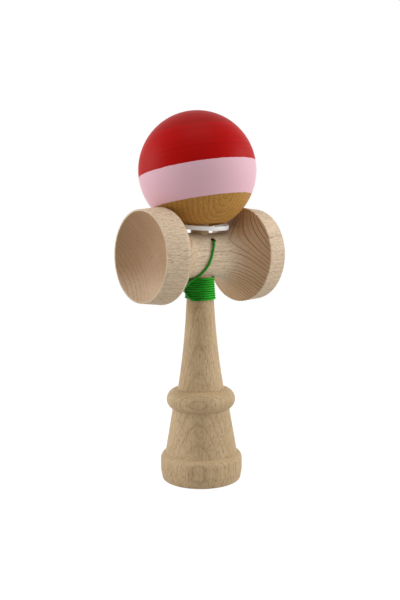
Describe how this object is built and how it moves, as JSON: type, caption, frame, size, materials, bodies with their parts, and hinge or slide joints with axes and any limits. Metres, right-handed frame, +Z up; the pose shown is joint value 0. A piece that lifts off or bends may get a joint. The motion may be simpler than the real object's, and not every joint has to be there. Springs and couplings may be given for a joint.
{
  "type": "kendama",
  "caption": "Wooden kendama: a turned handle with a spike, a cross piece with a big and a small cup, a painted ball resting on the spike, a loose ring and a string wound round the handle.",
  "frame": {"origin": "on the table, at the middle of the handle's base", "axes": "+Z up along the handle and the spike, +X from the handle towards the big cup, +Y towards the side where the string's free end hangs"},
  "size_m": [0.0742, 0.06, 0.1891],
  "materials": {
    "beech": "bare, sanded, with a dull sheen",
    "ball_paint": "satin red and pink paint over bare golden wood",
    "white_plastic": "smooth and glossy",
    "green_string": "braided, matt",
    "bead_wood": "bare"
  },
  "bodies": {
    "ken": {"ken": "beech", "sarado": "beech", "string_knot": "green_string", "string_run": "green_string", "string_winding": "green_string", "string_tail": "green_string"},
    "string_end": {"string_core": "green_string", "string_bead": "bead_wood", "end_knot": "green_string"},
    "tama": {"tama": "ball_paint"},
    "spike_ring": {"spike_ring": "white_plastic"}
  },
  "joints": [
    {"name": "ball_lift", "type": "slide", "parent": "ken", "child": "string_end", "axis": [0, 0, 1], "range_m": [0, 0.045], "deforming": ["string_tail"]},
    {"name": "ball_spin", "type": "hinge", "parent": "string_end", "child": "tama", "pos_m": [-0.00047, 0.001, 0.1589], "axis": [-0.0797, 0.1255, 0.9889], "continuous": true},
    {"name": "ring_turn", "type": "hinge", "parent": "ken", "child": "spike_ring", "pos_m": [0.0004, 0.0043, 0.13193], "axis": [-0.0076, -0.1442, 0.9895], "continuous": true}
  ]
}
